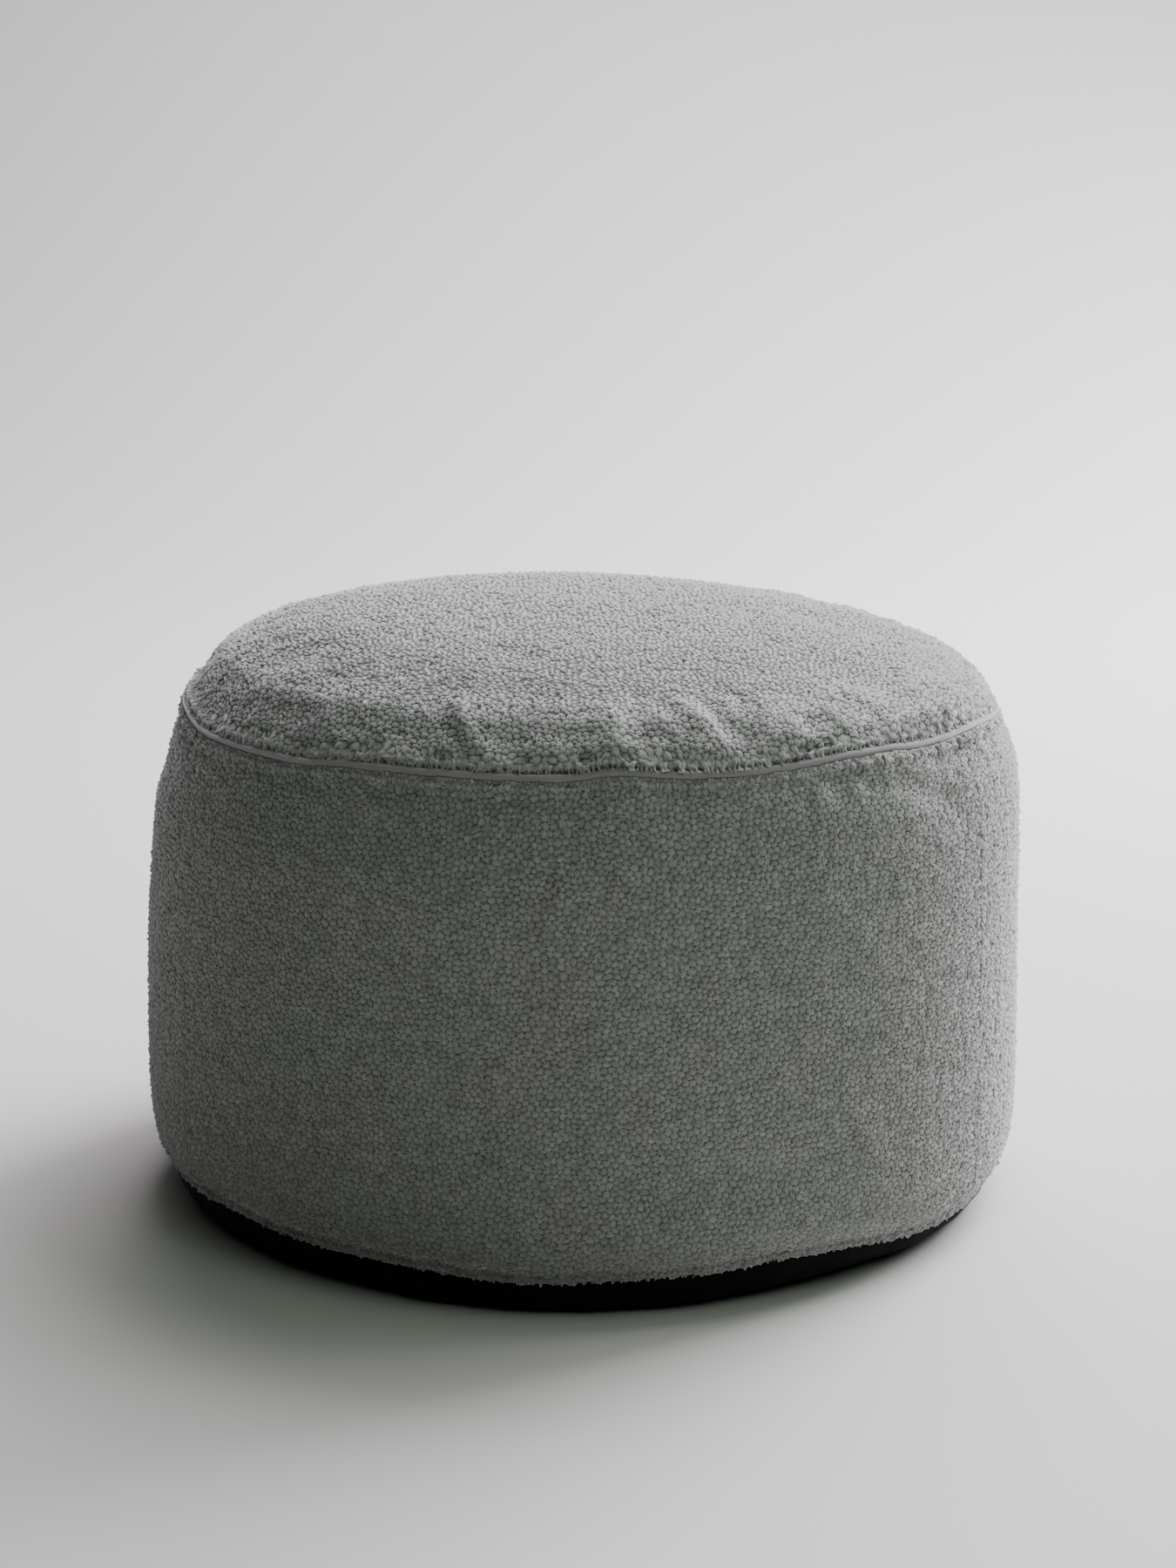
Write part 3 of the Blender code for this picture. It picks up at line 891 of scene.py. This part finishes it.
def makePile(plan, skin, share, toneAndPaintedShade, names, dice, material):
    places, whole, heights, lift = skin
    paintedSideShade, edgePaintedLight = toneAndPaintedShade
    count = len(places)
    # a random tone for each granule, with the side's granules painted darker than the crown's, as if less
    # lit
    tonesAndShade = paintedSideShade + dice.uniform(0, 1, count)
    places = places + facing(places, whole) * lift[:, None]
    rise = share * plan["rise"] * (1 + plan["unevenness"] * (dice.uniform(0, 1, count) - 0.5))
    faces, pairs = cutInSix(whole, count)
    saddles = saddleShares(plan, places, pairs, dice)
    lean = dice.normal(0, plan["lean"], places.shape) * heights[:, None]

    def spread(values):  # each granule's value, then the means between two and among three
        return np.concatenate([values, values[pairs].mean(1), values[whole].mean(1)])

    levels = np.concatenate([np.ones(count), saddles, np.full(len(whole), plan["hollow"])])
    levels *= spread(rise * heights)
    points = spread(places) + spread(facing(places, whole)) * levels[:, None]
    points[:count] += lean
    # painted light near the edges: the crown's crevices by the seam are painted lighter, and with the
    # side's low value both its edges, under the seam and at the hem, are painted dark: painted shade
    low = edgePaintedLight * np.clip(1 - heights, 0, 1)
    # the stored height carries the relief for the bump and the mask of the painted crevice shade
    tops = np.concatenate([
        np.minimum(edgePaintedLight + plan["edgeFade"] * heights, 1),
        saddles * plan["saddlePaintedShade"] + low[pairs].mean(1),
        low[whole].mean(1),
    ])
    finish = {"granuleHeightAndShade": 1 - spread(share) * (1 - tops), "granuleToneAndShade": spread(tonesAndShade)}
    pilePieces(names, points, faces, finish, material)


def pilePieces(names, points, faces, finish, material):  # one for each name, side by side round the drum
    width = 360 / len(names)
    sector = (bearingsOf(points[faces].mean(1)) + 180) // width
    for number, name in enumerate(names):
        kept, own = np.unique(faces[sector == number], return_inverse=True)
        own = own.reshape(-1, 3)
        mesh = bpy.data.meshes.new(name)
        mesh.from_pydata(points[kept], [], own)
        piece = bpy.data.objects.new(name, mesh)
        bpy.context.scene.collection.objects.link(piece)
        for key, values in finish.items():
            storeValues(piece, key, values[kept])
        useOnly(piece)
        bpy.ops.object.shade_smooth()
        mesh.materials.append(material)
        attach(piece, "root")
        print("pile:", name, len(own), "faces")


def makeCrownPile(plan, pad, dice, material):
    rim, rimHeights = ringsOf(seam, crownRings, plan, dice, True)
    places = scattered(pad, plan, crownFar, plan["scatterSeeds"][0])
    heights = np.concatenate([rimHeights, np.ones(len(places))])
    places = np.concatenate([rim, places])
    flat = flatCrown(places)
    lift = foldLift(flat, crownFolds, onCrown) + lipLift(lipPlan, places, flat)
    share = crownShare(plan, flat)
    skin = (places, joinedUp(flat), heights, lift)
    makePile(plan, skin, share, plan["crownPaintedShading"], ["crownPile"], dice, material)


def makeBandPile(plan, pad, dice, material):
    rim, rimHeights = ringsOf(seam, bandTopRings, plan, dice)
    low, lowHeights = ringsOf(hem, hemRings, plan, dice)
    places = scattered(pad, plan, bandFar, plan["scatterSeeds"][1])
    heights = np.concatenate([rimHeights, lowHeights, np.ones(len(places))])
    places = np.concatenate([rim, low, places])
    flat = flatBand(places)
    lift = foldLift(flat, bandFolds, onBand)
    faces = joinedUp(flat, 360 * radians(flatPlan["bandRadius"]))
    names = ["bandPileBackLeft", "bandPileFront", "bandPileBackRight"]
    share = np.full(len(places), plan["bandShare"])
    makePile(plan, (places, faces, heights, lift), share, plan["bandPaintedShading"], names, dice, material)


# The piping: a torus laid along the seam.

pipingPlan = {
    "segments": 720,
    "sides": 16,
    "radius": 2.1 * mm,
    "wander": 0.25 * mm,
    "wrinkle": 0.14 * mm,
    # how many waves go round the drum, and their seed: of the cord's thickness, its way out and its height
    "wrinkles": ((61, 97, 149, 211), 5),
    "outWander": ((17, 29, 43), 6),
    "upWander": ((13, 23, 37, 53), 7),
}


def waves(bearings, counts, seed):  # a smooth closed wander, about -1 to 1
    dice = np.random.default_rng(seed)
    total = np.zeros_like(bearings)
    for count in counts:
        total += dice.uniform(0.4, 1.0) * np.sin(np.radians(bearings * count) + dice.uniform(0, 2 * pi))
    return total / len(counts) ** 0.5


def makePiping(plan):
    route = pointsOf(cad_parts["piping"])
    middle = np.hypot(route[:, 0], route[:, 1]).mean()
    bpy.ops.object.select_all(action="DESELECT")
    bpy.ops.mesh.primitive_torus_add(
        major_segments=plan["segments"],
        minor_segments=plan["sides"],
        major_radius=middle,
        minor_radius=plan["radius"],
    )
    piping = bpy.context.object
    piping.name = "pipingCord"
    places = pointsOf(piping)
    bearings = bearingsOf(places)
    radius, height = seam.at(bearings)
    out = np.hypot(places[:, 0], places[:, 1]) - middle
    up = places[:, 2].copy()
    pinch = 1 + plan["wrinkle"] / plan["radius"] * waves(bearings, *plan["wrinkles"])
    newOut = radius + out * pinch + plan["wander"] * waves(bearings, *plan["outWander"])
    newUp = height + up * pinch + plan["wander"] * waves(bearings, *plan["upWander"])
    turn = np.radians(bearings)
    setPoints(piping, np.stack([newOut * np.sin(turn), -newOut * np.cos(turn), newUp], 1))
    useOnly(piping)
    bpy.ops.object.shade_smooth()
    lengths = (2 * pi * middle, 2 * pi * plan["radius"])
    piping.data.materials.append(pipingMaterial(pipingFinish, lengths))
    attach(piping, "root")
    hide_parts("piping")
    print("piping done")


# The base cloth, drawn in under the hem.

basePlan = {
    "pucker": 0.7 * mm,
    "puckers": ((19, 31, 47, 71), 11),
    "puckerRadii": (205 * mm, 222 * mm),  # none inside the first, whole outside the second
    "puckerHeights": (6 * mm, 15 * mm, 24 * mm),  # whole from the first, weaker from the second on
    "puckerAtHem": 0.4,
    "sharpAngle": 50,
    "footHeight": 4 * mm,  # the cloth is mapped flat below it, where it faces down
    "foldRadius": 230 * mm,  # and round a drum of this radius above
}


def makeBase(plan):
    base = copyOfNode("baseCloth", "base_panel")
    bpy.ops.object.mode_set(mode="EDIT")
    bpy.ops.mesh.select_all(action="DESELECT")
    bpy.ops.mesh.select_mode(type="EDGE")
    bpy.ops.mesh.edges_select_sharp(sharpness=radians(plan["sharpAngle"]))
    bpy.ops.transform.edge_crease(value=1)
    bpy.ops.object.mode_set(mode="OBJECT")
    applyModifier(base, "SUBSURF", levels=2, render_levels=2)
    places = pointsOf(base)
    bearings = bearingsOf(places)
    out = np.hypot(places[:, 0], places[:, 1])
    low, middle, high = plan["puckerHeights"]
    onSide = ramp(places[:, 2], 0, low) * ramp(out, *plan["puckerRadii"])
    onSide *= 1 - (1 - plan["puckerAtHem"]) * ramp(places[:, 2], middle, high)
    push = plan["pucker"] * waves(bearings, *plan["puckers"]) * onSide
    places[:, :2] *= (1 + push / np.maximum(out, 1 * mm))[:, None]
    places[:, 2] = np.maximum(places[:, 2], 0)
    setPoints(base, places)
    mapCloth(plan, base)
    base.data.materials.append(baseMaterial(baseFinish))
    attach(base, "root")
    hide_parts("base_panel")
    print("base done")


def mapCloth(plan, base):  # flat on the underside, and round the turned-up edge
    layer = base.data.uv_layers.new(name="clothUV")
    for face in base.data.polygons:
        level = abs(face.normal.z) > 0.8 and face.center.z < plan["footHeight"]
        for corner in face.loop_indices:
            place = base.data.vertices[base.data.loops[corner].vertex_index].co
            if level:
                layer.data[corner].uv = (place.x, place.y)
            else:
                along = np.arctan2(place.x, -place.y) * plan["foldRadius"]
                layer.data[corner].uv = (along, place.z + hypot(place.x, place.y))


makeCamera()
makeStudio(studioPlan)
print("camera and studio done")

pile = pileMaterial(pileFinish)
topPad = makePad(padPlan, "topPad", "top_panel", crownCover)
sidePad = makePad(padPlan, "sidePad", "side_band", bandCover)
for pad, node in ((topPad, "top_panel"), (sidePad, "side_band")):
    useOnly(pad)
    bpy.ops.object.shade_smooth()
    pad.data.materials.append(pile)
    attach(pad, "root")
    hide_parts(node)
print("pads done")

dice = np.random.default_rng(pilePlan["seed"])
makeCrownPile(pilePlan, topPad, dice, pile)
makeBandPile(pilePlan, sidePad, dice, pile)
drawIn(pilePlan, topPad, crownCover)
drawIn(pilePlan, sidePad, bandCover)
print("pile done")

makePiping(pipingPlan)
makeBase(basePlan)
